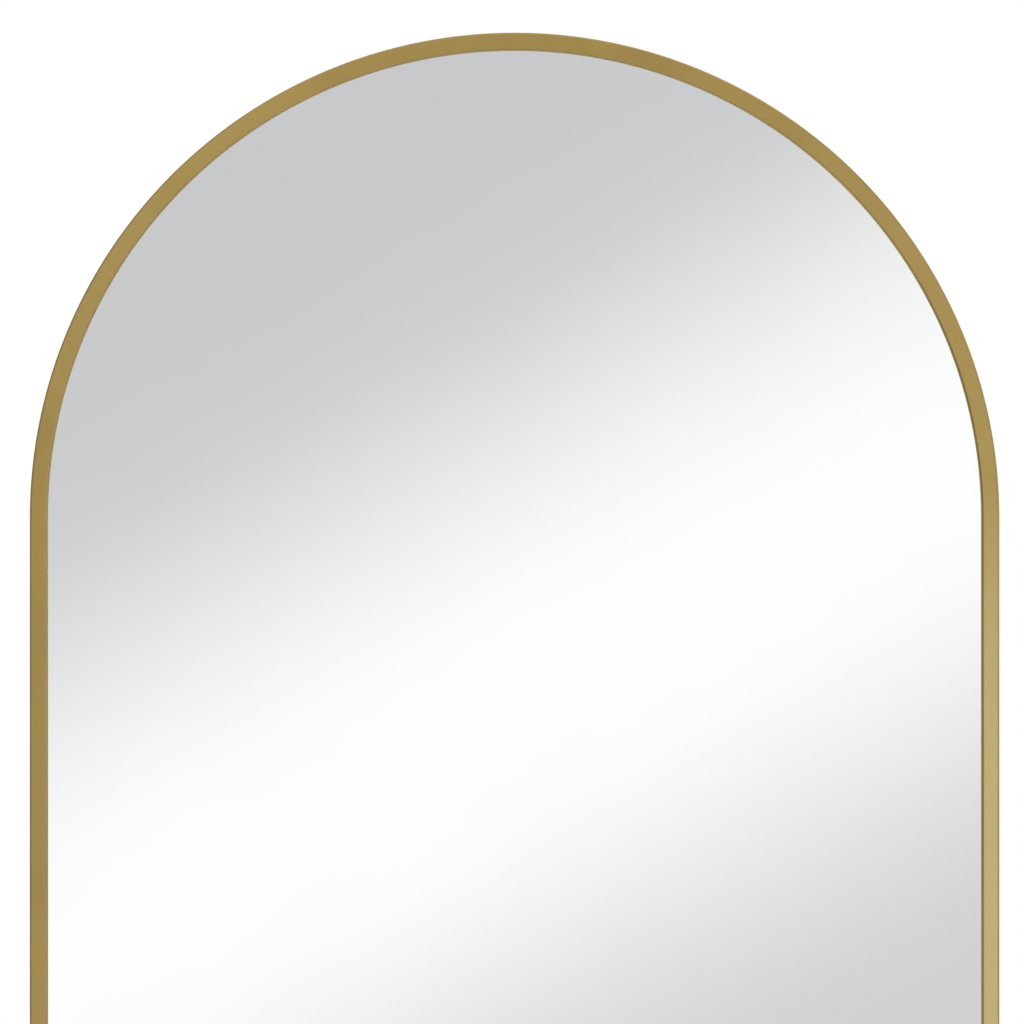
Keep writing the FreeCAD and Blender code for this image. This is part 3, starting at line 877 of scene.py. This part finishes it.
def wall_bumpers(rubber):
    """The push-in pads with a rounded, slightly dished face."""
    low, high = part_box("wall_bumpers")
    bm = bmesh.new()
    for sign in SIDES.values():
        across = sign * (high.x - widest(BUMPER_PAD))
        lathe(bm, BUMPER_PAD + BUMPER_STEM, Vector((across, RIM, (low.z + high.z) / 2)))
    weighted(piece("rubber_bumpers", bm, [rubber], "wall_bumpers"))


def dress(material, *cad_nodes):
    """Gives CAD nodes whose shape is right a finished material."""
    for cad_node in cad_nodes:
        slots = frame["nodes"][cad_node].data.materials
        slots.clear()
        slots.append(material)


def both(name):
    """The left and right CAD nodes of a name."""
    return [f"{name}_{side}" for side in SIDES]


def build_mirror():
    """Every piece of the mirror with its finish. Returns the gold rails."""
    zinc = bright_zinc()
    rails = [
        arch_rail(gold_anodised("gold_arch", arch_across)),
        bottom_rail(gold_anodised("gold_bottom", bottom_across)),
    ]
    mirror_glass(silvering(), glass_edge(), backing_paint())
    back_board(hardboard())
    spring_clips(blued_spring_steel())
    for side in SIDES:
        d_ring(side, zinc)
        hanger_strap(side, zinc)
    hanger_screws(zinc)
    wall_bumpers(bumper_rubber())
    dress(foam_seal(), "glazing_seal")
    dress(safety_film(), "safety_film")
    dress(corrugated_board(), "filler_sheet")
    dress(plated_key_steel(), *both("corner_key"), *both("corner_shim"))
    dress(zinc, *both("hanger_nut"))
    dress(black_oxide(), "corner_set_screws")
    return rails


def studio_grey(level):
    """A grey of the studio as a share of the brightest, a little cool where it is in shade."""
    tint = SHADE_TINT if level < SHADE_BELOW else (1, 1, 1)
    return [channel * level / SHEEN_PEAK for channel in tint]


def side_band(tree, across, sideways):
    """How many times brighter the studio is for its second band."""
    rise = spread(tree, across, *SIDE_BAND_RISE, curve="SMOOTHSTEP")
    fall = spread(tree, across, *SIDE_BAND_FALL, 1, 0, "SMOOTHSTEP")
    reach = spread(tree, sideways, *SIDE_BAND_REACH, curve="SMOOTHSTEP")
    band = calculate(tree, "MULTIPLY", calculate(tree, "MULTIPLY", rise, fall), reach)
    return spread(tree, band, 0, 1, 1, SIDE_BAND_GAIN)


def background(tree, colour, strength):
    """One light of the world."""
    return node(tree, "Background", {"Color": colour, "Strength": strength}).outputs["Background"]


def graded_studio(tree):
    """The soft bands that the metal and the glass reflect."""
    direction = node(tree, "TexCoord").outputs["Generated"]
    across = dot(tree, direction, SHEEN_AXIS)
    sideways = dot(tree, direction, (1, 0, 0))
    stops = [((place + 1) / 2, studio_grey(level)) for place, level in SHEEN_LEVELS]
    sheen = ramp(tree, spread(tree, across, -1, 1), stops, "B_SPLINE")
    dimmed = spread(tree, sideways, *LEFT_SHADE_REACH, LEFT_SHADE, 1, "SMOOTHSTEP")
    shaded = calculate(tree, "MULTIPLY", dimmed, side_band(tree, across, sideways))
    return background(tree, sheen, calculate(tree, "MULTIPLY", shaded, SHEEN_PEAK))


def studio_world():
    """White behind the object, the graded studio in reflections and an even soft light for the rest."""
    world = bpy.data.worlds.new("studio")
    scene.world = world
    world.use_nodes = True
    tree = world.node_tree
    tree.nodes.clear()
    rays = node(tree, "LightPath").outputs
    soft = background(tree, WHITE, SOFT_LEVEL)
    unseen = either(tree, rays["Is Glossy Ray"], soft, graded_studio(tree))
    seen = either(tree, rays["Is Camera Ray"], unseen, background(tree, WHITE, 1))
    node(tree, "OutputWorld", {"Surface": seen})


def area_lamp(name, place, turn, wide, tall, watts):
    """A flat lamp of a given width and height."""
    data = bpy.data.lights.new(name, "AREA")
    data.shape = "RECTANGLE"
    data.size = wide
    data.size_y = tall
    data.energy = watts
    lamp = bpy.data.objects.new(name, data)
    lamp.location = place
    lamp.rotation_euler = turn
    scene.collection.objects.link(lamp)
    return lamp


def soft_lamps():
    """Large lamps that don't show in the glass."""
    middle = Vector((0, 0, (BOTTOM + RAIL_HIGH.z) / 2))
    for name, (place, size, watts) in SOFT_LAMPS.items():
        turn = (middle - Vector(place)).to_track_quat("-Z", "Y").to_euler()
        lamp = area_lamp(name, place, turn, size, size, watts)
        lamp.visible_glossy = False


def strip_lights(rails):
    """The strip lights, which light the rails and nothing else."""
    lit = bpy.data.collections.new("lit_rails")
    for rail in rails:
        lit.objects.link(rail)
    for name, (place, wide, tall, watts, colour) in STRIP_LIGHTS.items():
        lamp = area_lamp(name, place, FACING_WALL, wide, tall, watts)
        lamp.data.color = colour
        lamp.light_linking.receiver_collection = lit
        lamp.light_linking.blocker_collection = lit


def floor_paint():
    """Pale grey that fades into the white background."""
    material, tree, shader, place = surface("pale_floor", {"Specular IOR Level": 0.1})
    tone = noise(tree, place, scale=4, detail=3)
    colour = ramp(tree, tone, [(0.3, (0.86, 0.86, 0.86)), (0.7, (0.90, 0.90, 0.90))])
    roughness = spread(tree, tone, 0, 1, 0.7, 0.9)
    finish(tree, shader, colour, roughness, tone, distance=0.1 * MM, strength=0.1)
    fade = spread(tree, length(tree, place), *FLOOR_FADE, curve="SMOOTHSTEP")
    clear = node(tree, "BsdfTransparent").outputs["BSDF"]
    faded = either(tree, fade, shader.outputs["BSDF"], clear)
    tree.links.new(faded, tree.nodes["Material Output"].inputs["Surface"])
    return material


def pale_floor():
    """A round floor under the mirror."""
    bm = bmesh.new()
    bmesh.ops.create_circle(bm, cap_ends=True, segments=FLOOR_STEPS, radius=FLOOR_RADIUS)
    bmesh.ops.translate(bm, verts=bm.verts[:], vec=(0, 0, BOTTOM - FLOOR_GAP))
    placed("floor", bm, [floor_paint()])


def photo_camera():
    """Straight on, framed as the picture is: the bottom of the mirror is below the view."""
    data = bpy.data.cameras.new("camera")
    data.sensor_width = SENSOR
    data.lens = SENSOR * CAMERA_DISTANCE / PICTURE_WIDTH
    camera = bpy.data.objects.new("camera", data)
    camera.location = (CAMERA_X, FRONT - CAMERA_DISTANCE, CAMERA_Z)
    camera.rotation_euler = FACING_WALL
    scene.collection.objects.link(camera)
    scene.camera = camera


def build_studio(rails):
    """The floor, the lamps, the world and the camera."""
    pale_floor()
    soft_lamps()
    strip_lights(rails)
    studio_world()
    photo_camera()
    scene.view_settings.view_transform = "Standard"


gold_rails = build_mirror()
build_studio(gold_rails)
